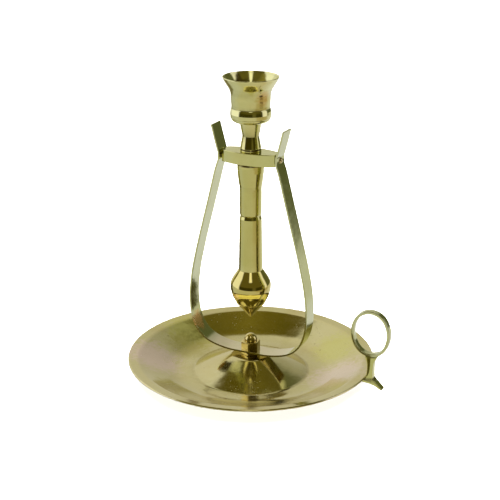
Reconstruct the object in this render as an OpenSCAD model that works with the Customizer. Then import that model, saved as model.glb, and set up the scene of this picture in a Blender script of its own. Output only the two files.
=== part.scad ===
// Swinging chamber candlestick in brass: a shallow dish with a raised centre,
// a bent strap yoke clamped on the dish, a cross bar pivoted between the yoke
// arms, and a weighted candle column that is screwed together through the bar.
// Origin: on the column axis at table level. +Z up, +X towards the finger ring.
// The yoke and the handle both lie in the XZ plane.

/* [Dish] */
// Outside radius of the dish
dish_r = 82.5; // [80:0.5:90]
// Height of the dish edge above the table
rim_h = 13; // [11:0.5:16]
// Thickness of the dish sheet
sheet_t = 1.1; // [0.8:0.1:1.4]
// Radius of the flat top of the raised centre
boss_top_r = 12.3; // [11:0.1:14]
// Radius where the raised centre meets the floor
boss_base_r = 38.8; // [34:0.2:40]
// Radius where the floor turns up into the wall
floor_r = 51; // [49:0.5:56]
// Width of the flat lip round the edge
lip_w = 7; // [4:0.5:8]
// Radius of the rolled bead at the edge
bead_r = 0.75; // [0.6:0.05:0.9]

/* [Yoke] */
// Width of the strap
strap_w = 12; // [9:0.5:14]
// Thickness of the strap
strap_t = 1.3; // [1:0.1:1.6]
// Half distance between the strap's mid-planes at the pivots
pivot_x = 20.1; // [19.9:0.1:20.4]
// Height of the pivots above the table
pivot_z = 150; // [148:0.5:152]
// Height of the strap's mid-plane where it is clamped
strap_z = 15.85; // [15.7:0.05:16]

/* [Cross bar] */
// Half length of the cross bar along X
bar_x = 18.4; // [17.8:0.1:18.5]
// Half depth of the cross bar at its middle
bar_y = 8.25; // [8:0.05:8.8]
// Half depth of the cross bar at its flat ends
bar_end_y = 4.2; // [3.8:0.1:5]
// Height of the cross bar
bar_h = 8; // [7:0.2:8.4]

/* [Pivots] */
// Shank radius of the pivot pins that carry the cross bar
rivet_r = 1.5; // [1.2:0.1:1.8]
// Length of a pivot pin inside the cross bar
pivot_l = 6; // [4:0.5:8]
// Radius of the pins' domed heads
rivet_head_r = 2; // [1.9:0.1:2.4]
// Radial running clearance of the pivots
run_c = 0.08; // [0.05:0.01:0.1]

/* [Candle cup] */
// Radius of the candle bore
candle_r = 11.1; // [10.9:0.05:11.2]
// Length of the straight part of the candle bore
candle_bore_l = 15; // [12:1:15]
// Height of the cup's top edge above the table
cup_top = 201.8; // [200:0.2:204]
// Radius of the flared top edge
cup_lip_r = 18; // [17:0.1:20]

/* [Column] */
// Radius of the neck at its waist
neck_waist_r = 5.42; // [5:0.1:6]
// Radius of the neck at its foot, on the cross bar
neck_foot_r = 6.85; // [6.5:0.05:7.2]
// Radius of the stem at its shoulder under the cross bar
shoulder_r = 8.72; // [8.2:0.02:9]
// Radius of the slim part of the upper stem
stem_r = 7.18; // [6.8:0.02:7.5]
// Radius of the lower stem where it meets the weight
stem_foot_r = 7.93; // [7.6:0.01:8]
// Largest radius of the bulb weight
bulb_r = 13.5; // [12.5:0.1:13.8]
// Height of the bottom point above the table
tip_z = 39.5; // [38:0.5:42]

/* [Handle] */
// Distance of the finger ring's centre from the column axis
finger_x = 84.7; // [84:0.1:86]
// Height of the finger ring's centre above the table
finger_z = 43.2; // [42.8:0.1:43.6]
// Half width of the finger ring, to the middle of its band
finger_a = 12.05; // [11.8:0.05:12.4]
// Half height of the finger ring, to the middle of its band
finger_b = 14.75; // [14.5:0.05:15]
// Thickness of the finger ring's band
finger_t = 2.2; // [1.8:0.1:2.4]
// Width of the finger ring's band
finger_w = 4.4; // [4:0.1:5]
// Width of the handle bracket
bracket_w = 5; // [4:0.2:6]

/* [Fasteners] */
// Width across flats of the cap nut and the spacer nut
nut_af = 11.3; // [10:0.1:13]
// Radius of the ball on the cap nut
ball_r = 4.3; // [4:0.1:4.6]
// Radius of the centre bolt
bolt_r = 3; // [2.8:0.1:3.1]
// Turn of the nuts about the column axis
nut_turn = -21.8; // [-30:0.1:30]

/* [Hidden] */

$fn = 96;
brass = [0.73, 0.68, 0.42];
brass_dark = [0.62, 0.56, 0.30];
brass_pale = [0.80, 0.77, 0.58];

fit = 0.05;                      // gap between pieces that screw together
floor_z = sheet_t;               // the dish floor rests on the table
spacer_z0 = rim_h;               // the spacer nut stands on the raised centre
spacer_z1 = strap_z - strap_t / 2;
cap_z0 = strap_z + strap_t / 2;
cap_z1 = cap_z0 + 5.9;
ball_z = cap_z1 + 0.9;
arm_in = pivot_x - strap_t / 2;  // inner face of a yoke arm at its pivot
arm_out = pivot_x + strap_t / 2;
cup_base = cup_top - 29.5;       // underside of the cup
cup_floor = cup_base + 5.6;
bore_top = cup_floor + 0.2 + candle_bore_l;
bar_z0 = pivot_z - bar_h / 2;    // underside of the cross bar, on the upper stem
bar_z1 = pivot_z + bar_h / 2;    // top of the cross bar, under the neck
joint_z = 111.2;                 // joint of the upper and lower stems
bulb_top = 74;                   // joint of the lower stem and the weight
finial_top = 50.4;               // joint of the weight and the point
studs_z = [joint_z, bulb_top];
stud_r = 2.5;
stud_l = 16;
bar_stud_l = bar_h + 16;

// ---- point lists that follow a rule ----

// n points of a quadratic curve from a to c that is pulled towards b
function bend(a, b, c, n = 6) = [for (i = [0:n]) let (t = i / n)
    a * (1 - t) * (1 - t) + b * 2 * t * (1 - t) + c * t * t];

// rounds the corner b between a and c, starting d before it and ending d after it
function corner(a, b, c, d, n = 5) =
    bend(b + (a - b) * d / norm(a - b), b, b + (c - b) * d / norm(c - b), n);

// one stretch of a smooth curve through b and c, with neighbours a and d
function smooth(a, b, c, d, n = 3) = [for (i = [0:n - 1]) let (t = i / n)
    0.5 * (2 * b + (c - a) * t + (2 * a - 5 * b + 4 * c - d) * t * t
           + (3 * b - a - 3 * c + d) * t * t * t)];

// a smooth curve through every point of p
function through(p, n = 3) = [
    for (i = [0:len(p) - 2])
        for (q = smooth(p[max(i - 1, 0)], p[i], p[i + 1], p[min(i + 2, len(p) - 1)], n)) q,
    p[len(p) - 1]];

function unit(v) = v / norm(v);
function left(v) = [-v[1], v[0]];

// the direction square to the line p at its point i, longer at a corner
function side(p, i) = let (
    a = left(unit(p[max(i, 1)] - p[max(i, 1) - 1])),
    b = left(unit(p[min(i, len(p) - 2) + 1] - p[min(i, len(p) - 2)])),
    m = unit(a + b)) m / (m * a);

// the line p moved sideways by d
function moved(p, d) = [for (i = [0:len(p) - 1]) p[i] + side(p, i) * d];

function back(p) = [for (i = [len(p) - 1:-1:0]) p[i]];
function across(p) = [for (q = p) [-q[0], q[1]]];

// ---- dish ----

lip_r = dish_r - lip_w;
// upper surface of the dish, from the bolt hole out to the edge
dish_corners = [[bolt_r + 0.25, rim_h], [boss_top_r, rim_h], [boss_base_r, floor_z],
                [floor_r, floor_z], [lip_r, rim_h - 1], [dish_r - bead_r - 0.5, rim_h - 0.1]];
dish_top = concat(
    [dish_corners[0]],
    corner(dish_corners[0], dish_corners[1], dish_corners[2], 1.2),
    corner(dish_corners[1], dish_corners[2], dish_corners[3], 1.2, 4),
    corner(dish_corners[2], dish_corners[3], dish_corners[4], 7, 8),
    corner(dish_corners[3], dish_corners[4], dish_corners[5], 1.5, 4),
    [dish_corners[5]]);
// the rolled edge, from the top of the bead round to its underside
dish_edge = [for (a = [90:-20:-110])
    [dish_r - bead_r + bead_r * cos(a), rim_h - bead_r + bead_r * sin(a)]];

module dish() {
    color(brass)
        rotate_extrude($fn = 180)
            polygon(concat(dish_top, dish_edge, back(moved(dish_top, -sheet_t))));
}

// ---- handle ----

// outline of the bracket: foot under the lip, notch round the edge, neck, tail
notch_x = dish_r + 0.25;
bracket_in = through([[notch_x, rim_h + 0.4], [notch_x + 0.6, 16], [notch_x + 0.8, 20], [notch_x + 0.4, 24], [notch_x - 1.4, 29]]);
bracket_out = through([[91.1, 29.6], [88.8, 25.6], [87.75, 22], [87.45, 17], [87.6, 12.6]]);
bracket_under = through([[93.8, 5.1], [90.2, 7.2], [87.2, 8.3], [83.4, 9], [79.8, 9.3]]);

module handle_bracket() {
    color(brass_pale)
        difference() {
            translate([0, bracket_w / 2, 0]) rotate([90, 0, 0])
                linear_extrude(height = bracket_w)
                    polygon(concat(bracket_in, bracket_out, [[94.3, 6]], bracket_under,
                                   [[79.6, 10.9], [notch_x, 11.2]]));
            finger_slab(finger_t / 2 + 0.02, bracket_w + 2);
        }
}

// the oval finger ring is four arcs that meet without a corner
finger_r1 = 11;
finger_d1 = finger_b - finger_r1;
finger_r2 = (finger_d1 * finger_d1 + finger_a * finger_a - finger_r1 * finger_r1)
            / (2 * (finger_a - finger_r1));
finger_d2 = finger_r2 - finger_a;
finger_turn = atan2(finger_d1, finger_d2);

function finger_arc(cx, cz, r, a0, a1, n) =
    [for (k = [0 : n - 1]) let (a = a0 + (a1 - a0) * k / n)
        [finger_x + cx + r * cos(a), finger_z + cz + r * sin(a)]];

// outline of the oval, moved out by g from the middle of the band
function finger_line(g) = concat(
    finger_arc(-finger_d2, 0, finger_r2 + g, -finger_turn, finger_turn, 24),
    finger_arc(0, finger_d1, finger_r1 + g, finger_turn, 180 - finger_turn, 32),
    finger_arc(finger_d2, 0, finger_r2 + g, 180 - finger_turn, 180 + finger_turn, 24),
    finger_arc(0, -finger_d1, finger_r1 + g, 180 + finger_turn, 360 - finger_turn, 32));

module finger_slab(g, w) {
    translate([0, w / 2, 0]) rotate([90, 0, 0])
        linear_extrude(height = w) polygon(finger_line(g));
}

module finger_ring() {
    color(brass_pale)
        difference() {
            finger_slab(finger_t / 2, finger_w);
            finger_slab(-finger_t / 2, finger_w + 2);
        }
}

// ---- yoke ----

// mid-line of one half of the strap, from the clamped middle to the arm's top end
strap_low = [[6, strap_z], [13, strap_z + 0.05], [21, strap_z + 1.2], [28, strap_z + 3.3], [33.3, strap_z + 6.5],
             [37.3, strap_z + 11], [40, strap_z + 16.6], [41.6, strap_z + 23.4], [42.2, strap_z + 32], [41.9, 56], [40.3, 68],
             [37.8, 80], [34.9, 92], [31.8, 104], [28.7, 116], [25.5, 128.5], [22.5, 140.3], [pivot_x + 0.45, pivot_z - 3.6],
             [pivot_x, pivot_z - 2.3]];
strap_high = [[pivot_x, pivot_z + 2.3], [pivot_x + 0.45, pivot_z + 3.6], [pivot_x + 2.2, pivot_z + 10], [pivot_x + 4.75, pivot_z + 19.8]];
strap_half = concat(through(strap_low), through(strap_high));
strap_line = concat(back(across(strap_half)), strap_half);

module yoke_strap() {
    color(brass_pale)
        difference() {
            translate([0, strap_w / 2, 0]) rotate([90, 0, 0])
                linear_extrude(height = strap_w)
                    polygon(concat(moved(strap_line, strap_t / 2), back(moved(strap_line, -strap_t / 2))));
            // clamping hole
            translate([0, 0, strap_z - 3]) cylinder(r = bolt_r + 0.25, h = 6);
            // pivot holes
            for (s = [-1, 1])
                translate([s * pivot_x, 0, pivot_z]) rotate([0, 90, 0])
                    cylinder(r = rivet_r + run_c, h = 6, center = true);
        }
}

// ---- centre fastening ----

module hex_bar(af, z0, z1, turn = 0) {
    rotate([0, 0, turn]) translate([0, 0, z0])
        cylinder(r = af / 2 / cos(30), h = z1 - z0, $fn = 6);
}

module base_bolt() {
    washer_z0 = rim_h - sheet_t - 1.2;
    color(brass_dark) {
        // hexagon head, with its free corners turned off
        intersection() {
            hex_bar(10, washer_z0 - 4, washer_z0);
            rotate_extrude() polygon([[0, washer_z0 - 4], [4.9, washer_z0 - 4], [6, washer_z0 - 3.3], [6, washer_z0], [0, washer_z0]]);
        }
        translate([0, 0, washer_z0 - 0.5]) cylinder(r = bolt_r, h = cap_z1 + 1.2 - washer_z0);
    }
}

module base_washer() {
    washer_z1 = rim_h - sheet_t;
    color(brass_dark)
        difference() {
            translate([0, 0, washer_z1 - 1.2]) cylinder(r = 9, h = 1.2);
            translate([0, 0, washer_z1 - 3]) cylinder(r = bolt_r + 0.25, h = 6);
        }
}

module spacer_nut() {
    color(brass_dark)
        difference() {
            hex_bar(nut_af, spacer_z0, spacer_z1, nut_turn);
            translate([0, 0, spacer_z0 - 1]) cylinder(r = bolt_r + fit, h = 6);
        }
}

module cap_nut() {
    corner_r = nut_af / 2 / cos(30);
    color(brass)
        difference() {
            union() {
                // hexagon with its upper corners turned off
                intersection() {
                    hex_bar(nut_af, cap_z0, cap_z1, nut_turn);
                    rotate_extrude() polygon([[0, cap_z0], [corner_r + 0.1, cap_z0], [corner_r + 0.1, cap_z1 - 0.55],
                                              [nut_af / 2 - 0.3, cap_z1], [0, cap_z1]]);
                }
                translate([0, 0, ball_z]) sphere(r = ball_r, $fn = 64);
            }
            translate([0, 0, cap_z0 - 5]) cylinder(r = bolt_r + fit, h = cap_z1 + 1.6 - cap_z0 + 5);
        }
}

// ---- cross bar ----

// radius of an arc that bulges from half depth e at the ends to half depth y at the middle
function bow_r(x, y, e) = (x * x + (y - e) * (y - e)) / (2 * (y - e));

module bowed_plate(x, y, e) {
    r = bow_r(x, y, e);
    intersection() {
        square([2 * x, 2 * y + 1], center = true);
        translate([0, y - r]) circle(r = r, $fn = 360);
        translate([0, r - y]) circle(r = r, $fn = 360);
    }
}

module cross_bar() {
    color(brass)
        difference() {
            translate([0, 0, bar_z0]) linear_extrude(height = bar_h)
                bowed_plate(bar_x, bar_y, bar_end_y);
            // bored for the stud that joins the column
            translate([0, 0, bar_z0 - 1]) cylinder(r = stud_r + fit, h = bar_h + 2);
            // drilled in both ends for the pivot pins
            for (s = [0, 180]) rotate([0, 0, s]) translate([bar_x - pivot_l - 0.3, 0, pivot_z]) rotate([0, 90, 0])
                cylinder(r = rivet_r + 0.02, h = pivot_l + 2);
        }
}

head_h = 1.35;
dome_r = (rivet_head_r * rivet_head_r + head_h * head_h) / (2 * head_h);

// a pivot pin along its own axis, from its end in the bar to its dome
module pivot_rivet() {
    x0 = bar_x - pivot_l;
    x1 = arm_out + 0.08;
    a0 = asin((dome_r - head_h) / dome_r);
    rotate([0, 90, 0])
        rotate_extrude($fn = 48)
            polygon(concat(
                [[0, x0], [rivet_r - 0.3, x0], [rivet_r, x0 + 0.3], [rivet_r, x1]],
                [for (i = [0:8]) let (a = a0 + (90 - a0) * i / 8) [dome_r * cos(a), x1 + head_h - dome_r + dome_r * sin(a)]]));
}

module pivot_rivets() {
    color(brass_dark)
        translate([0, 0, pivot_z]) for (s = [0, 180]) rotate([0, 0, s]) pivot_rivet();
}

module pivot_washers() {
    t = arm_in - bar_x - 0.1;
    color(brass_dark)
        for (s = [-1, 1]) translate([s * (bar_x + t / 2), 0, pivot_z]) rotate([0, 90, 0])
            difference() {
                cylinder(r = 2.8, h = t, center = true);
                cylinder(r = rivet_r + 0.02, h = t + 2, center = true);
            }
}

// ---- candle column ----

module candle_cup() {
    b = cup_base;
    lip = cup_lip_r;
    outside = concat(
        [[2.05, b], [6.6, b]],
        [[9.7, b + 0.6], [11.3, b + 1.3], [12.2, b + 2], [12.6, b + 2.9]],
        [[12.75, b + 3.6], [13.1, b + 5.2], [13.12, b + 6.4], [12.95, b + 7.8], [12.62, b + 9]],
        [[12.36, b + 10.2]],
        through([[12.36, b + 11.4], [12.65, b + 14.8], [12.8, b + 19], [13.8, b + 21.7], [15.3, b + 24.2], [16.8, b + 26.7], [lip - 0.35, b + 28.6]], 4),
        [[lip - 0.02, b + 29.2], [lip - 0.15, b + 29.5], [lip - 0.5, b + 29.45]]);
    inside = concat(
        through([[lip - 1.1, b + 28.5], [15.9, b + 26.7], [14.2, b + 24.4], [12.6, b + 22.6], [11.5, bore_top + 0.6]], 4),
        [[candle_r, bore_top], [candle_r, cup_floor + 0.2], [candle_r - 0.2, cup_floor],
         [3.75, cup_floor], [2.05, cup_floor - 1.75]]);
    color(brass)
        rotate_extrude($fn = 120) polygon(concat(outside, inside));
}

module cup_screw() {
    color(brass_dark)
        difference() {
            union() {
                translate([0, 0, cup_base - 9]) cylinder(r = 2, h = cup_floor - 1.75 - cup_base + 9.1);
                translate([0, 0, cup_floor - 1.75]) cylinder(r1 = 2, r2 = 3.6, h = 1.6);
            }
            // slot for the driver
            translate([0, 0, cup_floor]) cube([9, 0.8, 1.6], center = true);
        }
}

module neck_spool() {
    waist = cup_base - 8.4;
    color(brass)
        difference() {
            rotate_extrude($fn = 96)
                polygon([[0, bar_z1], [neck_foot_r, bar_z1],
                         [neck_foot_r, bar_z1 + 0.9], [neck_foot_r - 0.25, bar_z1 + 1.5], [neck_foot_r - 0.1, bar_z1 + 2.5],
                         [neck_waist_r, waist], [7, cup_base], [0, cup_base]]);
            // tapped for the cup screw from above and for the stud from below
            translate([0, 0, cup_base - 9.2]) cylinder(r = 2 + fit, h = 20);
            translate([0, 0, bar_z1 - 1]) cylinder(r = stud_r + fit, h = 9.3);
        }
}

module bar_stud() {
    color(brass_dark)
        translate([0, 0, pivot_z - bar_stud_l / 2]) cylinder(r = stud_r, h = bar_stud_l, $fn = 32);
}

module upper_stem() {
    color(brass)
        difference() {
            rotate_extrude($fn = 96)
                polygon(concat(
                    [[0, joint_z], [stem_r - 0.45, joint_z], [stem_r - 0.1, joint_z + 0.8], [stem_r, joint_z + 1.8], [stem_r, 129]],
                    bend([stem_r, 129], [stem_r + 0.02, 130.5], [stem_r + 0.35, 131.8], 3),
                    [[(stem_r + shoulder_r) / 2 + 0.15, 136], [shoulder_r - 0.15, 140.5],
                     [shoulder_r, 143.2], [shoulder_r, bar_z0 - 0.5], [shoulder_r - 0.5, bar_z0], [0, bar_z0]]));
            translate([0, 0, bar_z0 - 8.5]) cylinder(r = stud_r + fit, h = 10);
            translate([0, 0, joint_z - stud_l / 2]) cylinder(r = stud_r + fit, h = stud_l + 0.5);
        }
}

module lower_stem() {
    color(brass)
        difference() {
            rotate_extrude($fn = 96)
                polygon([[0, bulb_top], [stem_foot_r, bulb_top], [stem_foot_r - 0.2, bulb_top + 9], [stem_r + 0.28, 98],
                         [stem_r + 0.08, joint_z - 2.1], [stem_r - 0.45, joint_z - 0.1], [0, joint_z - 0.1]]);
            translate([0, 0, bulb_top - 1]) cylinder(r = stud_r + fit, h = stud_l / 2 + 1.5);
            translate([0, 0, joint_z - stud_l / 2 - 0.5]) cylinder(r = stud_r + fit, h = stud_l);
        }
}

module bulb_weight() {
    h = bulb_top;
    flank = through([[stem_foot_r + 0.05, h], [9.8, h - 2.9], [11.6, h - 5.7], [13, h - 8.5], [bulb_r - 0.05, h - 10.6], [bulb_r, h - 12.1],
                     [bulb_r - 0.2, h - 14.2], [12.6, h - 17], [11.45, h - 19.9], [9.8, h - 22.8]], 3);
    color(brass)
        difference() {
            rotate_extrude($fn = 120)
                polygon(concat([[0, h]], flank, [[9.35, finial_top], [0, finial_top]]));
            translate([0, 0, h - stud_l / 2 - 0.5]) cylinder(r = stud_r + fit, h = stud_l);
            translate([0, 0, finial_top - 1]) cylinder(r = 2.4 + fit, h = 9);
        }
}

module tip_finial() {
    color(brass)
        rotate_extrude($fn = 96)
            polygon([[0, tip_z], [0.35, tip_z + 0.1], [0.7, tip_z + 0.6], [5, tip_z + 5.4], [9.35, finial_top - 0.45],
                     [9.45, finial_top - 0.1], [9.2, finial_top], [2.4, finial_top], [2.4, finial_top + 7.5], [0, finial_top + 7.5]]);
}

module joining_studs() {
    color(brass_dark)
        for (z = studs_z) translate([0, 0, z - stud_l / 2]) cylinder(r = stud_r, h = stud_l, $fn = 32);
}

dish();
handle_bracket();
finger_ring();
yoke_strap();
base_bolt();
base_washer();
spacer_nut();
cap_nut();
cross_bar();
pivot_rivets();
pivot_washers();
candle_cup();
cup_screw();
neck_spool();
bar_stud();
upper_stem();
lower_stem();
bulb_weight();
tip_finial();
joining_studs();
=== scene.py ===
import bpy, bmesh, math
from mathutils import Vector, Matrix
from mathutils.geometry import tessellate_polygon


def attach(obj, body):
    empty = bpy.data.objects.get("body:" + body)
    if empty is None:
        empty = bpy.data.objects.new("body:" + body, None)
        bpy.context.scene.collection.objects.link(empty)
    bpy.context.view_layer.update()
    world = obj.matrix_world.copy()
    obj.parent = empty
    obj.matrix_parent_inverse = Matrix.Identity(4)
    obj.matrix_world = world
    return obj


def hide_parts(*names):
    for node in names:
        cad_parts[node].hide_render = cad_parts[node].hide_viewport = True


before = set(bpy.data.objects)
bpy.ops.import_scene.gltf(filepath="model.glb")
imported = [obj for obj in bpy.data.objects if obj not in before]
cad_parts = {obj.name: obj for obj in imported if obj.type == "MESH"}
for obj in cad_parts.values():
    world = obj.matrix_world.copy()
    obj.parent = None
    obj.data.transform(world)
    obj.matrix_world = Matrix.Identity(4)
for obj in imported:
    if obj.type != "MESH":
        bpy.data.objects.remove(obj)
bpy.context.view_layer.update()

MM = 0.001
scene = bpy.context.scene
PIVOT_Z = 150.0

# ------------------------------------------------------------------ outlines

def sub(a, b): return (a[0] - b[0], a[1] - b[1])
def length(a): return math.hypot(a[0], a[1])
def unit(a):
    l = length(a) or 1.0
    return (a[0] / l, a[1] / l)


def curve(pts, step=0.5):
    """A smooth line through every point, with a point about every step mm."""
    out = []
    for i in range(len(pts) - 1):
        a, b, c, d = pts[max(i - 1, 0)], pts[i], pts[i + 1], pts[min(i + 2, len(pts) - 1)]
        n = max(2, int(math.ceil(length(sub(c, b)) / step)))
        for k in range(n):
            t = k / n
            out.append(tuple(0.5 * (2 * b[j] + (c[j] - a[j]) * t + (2 * a[j] - 5 * b[j] + 4 * c[j] - d[j]) * t * t
                                    + (3 * b[j] - a[j] - 3 * c[j] + d[j]) * t ** 3) for j in (0, 1)))
    out.append(tuple(pts[-1][:2]))
    return out


def bezier(a, b, c, n=10):
    return [tuple(a[j] * (1 - t) ** 2 + 2 * b[j] * t * (1 - t) + c[j] * t * t for j in (0, 1)) for t in (k / n for k in range(n + 1))]


def arc(cx, cz, r, a0, a1, n):
    return [(cx + r * math.cos(math.radians(a0 + (a1 - a0) * k / n)), cz + r * math.sin(math.radians(a0 + (a1 - a0) * k / n))) for k in range(n + 1)]


def fillet(pts, closed=False):
    """Rounds each corner that carries a radius, and keeps flats flat with a point close to each of their ends."""
    n, out = len(pts), []
    for i, p in enumerate(pts):
        r = p[2] if len(p) > 2 else 0.0
        if r <= 0 or (not closed and i in (0, n - 1)):
            out.append((p[0], p[1]))
            continue
        a, b = pts[(i - 1) % n], pts[(i + 1) % n]
        u, v = unit(sub(a, p)), unit(sub(b, p))
        cosphi = max(-1.0, min(1.0, u[0] * v[0] + u[1] * v[1]))
        phi = math.acos(cosphi)
        if phi > math.pi - 0.02 or phi < 0.02:
            out.append((p[0], p[1]))
            continue
        t = min(r / math.tan(phi / 2), 0.45 * length(sub(a, p)), 0.45 * length(sub(b, p)))
        re = t * math.tan(phi / 2)
        w = unit((u[0] + v[0], u[1] + v[1]))
        c = (p[0] + w[0] * re / math.sin(phi / 2), p[1] + w[1] * re / math.sin(phi / 2))
        s, e = (p[0] + u[0] * t, p[1] + u[1] * t), (p[0] + v[0] * t, p[1] + v[1] * t)
        a0, a1 = math.atan2(s[1] - c[1], s[0] - c[0]), math.atan2(e[1] - c[1], e[0] - c[0])
        while a1 - a0 > math.pi: a1 -= 2 * math.pi
        while a1 - a0 < -math.pi: a1 += 2 * math.pi
        k = max(3, int(abs(a1 - a0) / math.radians(14)))
        out += [(c[0] + re * math.cos(a0 + (a1 - a0) * j / k), c[1] + re * math.sin(a0 + (a1 - a0) * j / k)) for j in range(k + 1)]
    # flats
    res, m = [], len(out)
    for i in range(m if closed else m - 1):
        a, b = out[i], out[(i + 1) % m]
        l = length(sub(b, a))
        res.append(a)
        if l > 0.9:
            d = 0.12 / l
            res.append((a[0] + (b[0] - a[0]) * d, a[1] + (b[1] - a[1]) * d))
            k = int(l / 6)
            for j in range(1, k + 1):
                f = d + (1 - 2 * d) * j / (k + 1)
                res.append((a[0] + (b[0] - a[0]) * f, a[1] + (b[1] - a[1]) * f))
            res.append((b[0] - (b[0] - a[0]) * d, b[1] - (b[1] - a[1]) * d))
    if not closed:
        res.append(out[-1])
    clean = [res[0]]
    for p in res[1:]:
        if length(sub(p, clean[-1])) > 1e-4:
            clean.append(p)
    if closed and length(sub(clean[0], clean[-1])) < 1e-4:
        clean.pop()
    return clean


def bends(pts, closed, reach=0.9):
    """How much the outline turns near each point: positive at outer corners, negative in creases, for an outline that runs anticlockwise."""
    n = len(pts)
    turn = [0.0] * n
    for i in range(n):
        if not closed and i in (0, n - 1):
            continue
        a, b = sub(pts[i], pts[i - 1]), sub(pts[(i + 1) % n], pts[i])
        turn[i] = math.atan2(a[0] * b[1] - a[1] * b[0], a[0] * b[0] + a[1] * b[1])
    out = []
    for i in range(n):
        total = turn[i]
        for sgn in (1, -1):
            d, j = 0.0, i
            for _ in range(40):
                k = j + sgn
                if not closed and not 0 <= k < n:
                    break
                k %= n
                d += length(sub(pts[k], pts[j % n]))
                if d > reach:
                    break
                total += turn[k] * (1 - d / reach)
                j = k
        out.append(total)
    return out


def area(pts):
    return 0.5 * sum(pts[i][0] * pts[(i + 1) % len(pts)][1] - pts[(i + 1) % len(pts)][0] * pts[i][1] for i in range(len(pts)))

# ------------------------------------------------------------------ meshes

def finish_mesh(name, verts, faces, wear, mat, body, nodes, slot, smooth=True):
    me = bpy.data.meshes.new(name)
    me.from_pydata([Vector(v) * MM for v in verts], [], faces)
    for key, sign in (("wear", 1), ("grime", -1)):
        at = me.attributes.new(key, "FLOAT", "POINT")
        at.data.foreach_set("value", [max(0.0, min(1.0, sign * w)) for w in wear])
    bm = bmesh.new(); bm.from_mesh(me)
    bmesh.ops.remove_doubles(bm, verts=bm.verts, dist=2e-7)
    bmesh.ops.recalc_face_normals(bm, faces=bm.faces)
    for f in bm.faces: f.smooth = smooth
    bm.to_mesh(me); bm.free()
    ob = bpy.data.objects.new(name, me)
    scene.collection.objects.link(ob)
    me.materials.append(mat)
    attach(ob, body)
    if nodes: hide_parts(*nodes)
    return ob


def lathe_data(profile, seg, closed=False, axis="z", centre=(0, 0, 0), flip=False):
    """Turns an outline of (radius, along) into vertices, faces and a wear value per vertex."""
    pts = fillet(profile, closed)
    sign = 1 if area(pts) > 0 else -1
    w = [sign * b / 0.9 for b in bends(pts, closed)]
    verts, faces, wear, rings = [], [], [], []
    for (r, z), b in zip(pts, w):
        if r < 1e-4:
            ring = [len(verts)]
            verts.append((0, 0, z)); wear.append(b)
        else:
            ring = list(range(len(verts), len(verts) + seg))
            for k in range(seg):
                a = 2 * math.pi * k / seg
                verts.append((r * math.cos(a), r * math.sin(a), z)); wear.append(b)
        rings.append(ring)
    pairs = list(zip(rings[:-1], rings[1:])) + ([(rings[-1], rings[0])] if closed else [])
    for a, b in pairs:
        for k in range(seg):
            j = (k + 1) % seg
            if len(a) == 1 and len(b) == 1: break
            if len(a) == 1: faces.append((a[0], b[k], b[j]))
            elif len(b) == 1: faces.append((a[k], b[0], a[j]))
            else: faces.append((a[k], b[k], b[j], a[j]))
    out = []
    for x, y, z in verts:
        if axis == "x": x, y, z = (-z if flip else z), y, x
        out.append((x + centre[0], y + centre[1], z + centre[2]))
    return out, faces, wear


def merge(*parts):
    verts, faces, wear = [], [], []
    for v, f, w in parts:
        o = len(verts)
        verts += v; wear += w
        faces += [tuple(i + o for i in q) for q in f]
    return verts, faces, wear


def rect_section(hw, ht, r, n=4):
    """A rounded rectangle of half sizes hw (across) and ht (through), with its wear."""
    pts = fillet([(-hw, -ht, r), (hw, -ht, r), (hw, ht, r), (-hw, ht, r)], True)
    # more points along the wide faces
    out = []
    for i, p in enumerate(pts):
        q = pts[(i + 1) % len(pts)]
        out.append(p)
        l = length(sub(q, p))
        if l > 1.2:
            k = int(l / 1.0)
            out += [(p[0] + (q[0] - p[0]) * j / (k + 1), p[1] + (q[1] - p[1]) * j / (k + 1)) for j in range(1, k + 1)]
    return out, [b / 0.9 for b in bends(out, True, 0.7)]


def lefts(path, closed):
    n, out = len(path), []
    for i in range(n):
        if closed: a, b = path[(i - 1) % n], path[(i + 1) % n]
        else: a, b = path[max(i - 1, 0)], path[min(i + 1, n - 1)]
        t = unit(sub(b, a))
        out.append((-t[1], t[0]))
    return out


def strip(path, hw, ht, r, closed, place, end_r=0.15):
    """Sweeps a rounded rectangle along a plane path. place(u, v, across) puts a path-plane point and a cross offset in space."""
    sec, sw = rect_section(hw, ht, r)
    verts, faces, wear, n = [], [], [], len(sec)
    nor = lefts(path, closed)
    rings = []
    def ring(p, nv, inset, extra):
        ids = []
        for (s, t), w in zip(sec, sw):
            s2 = math.copysign(max(abs(s) - inset, 0), s); t2 = math.copysign(max(abs(t) - inset, 0), t)
            ids.append(len(verts))
            verts.append(place(p[0] + nv[0] * t2, p[1] + nv[1] * t2, s2)); wear.append(max(w, extra))
        rings.append(ids)
    if closed:
        for p, nv in zip(path, nor): ring(p, nv, 0, 0)
    else:
        def along(i, j, d):
            u = unit(sub(path[j], path[i])); return (path[i][0] + u[0] * d, path[i][1] + u[1] * d)
        for d, ins in ((0, end_r), (0.03, end_r * 0.5), (0.09, end_r * 0.15), (end_r + 0.05, 0), (0.45, 0)):
            ring(along(0, 1, d), nor[0], ins, 0.8 if d < 0.3 else 0)
        for i in range(1, len(path) - 1): ring(path[i], nor[i], 0, 0)
        for d, ins in ((0.45, 0), (end_r + 0.05, 0), (0.09, end_r * 0.15), (0.03, end_r * 0.5), (0, end_r)):
            ring(along(len(path) - 1, len(path) - 2, d), nor[-1], ins, 0.8 if d < 0.3 else 0)
    pairs = list(zip(rings[:-1], rings[1:])) + ([(rings[-1], rings[0])] if closed else [])
    for a, b in pairs:
        for k in range(n):
            j = (k + 1) % n
            faces.append((a[k], a[j], b[j], b[k]))
    if not closed:
        faces.append(tuple(reversed(rings[0]))); faces.append(tuple(rings[-1]))
    return verts, faces, wear


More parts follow.
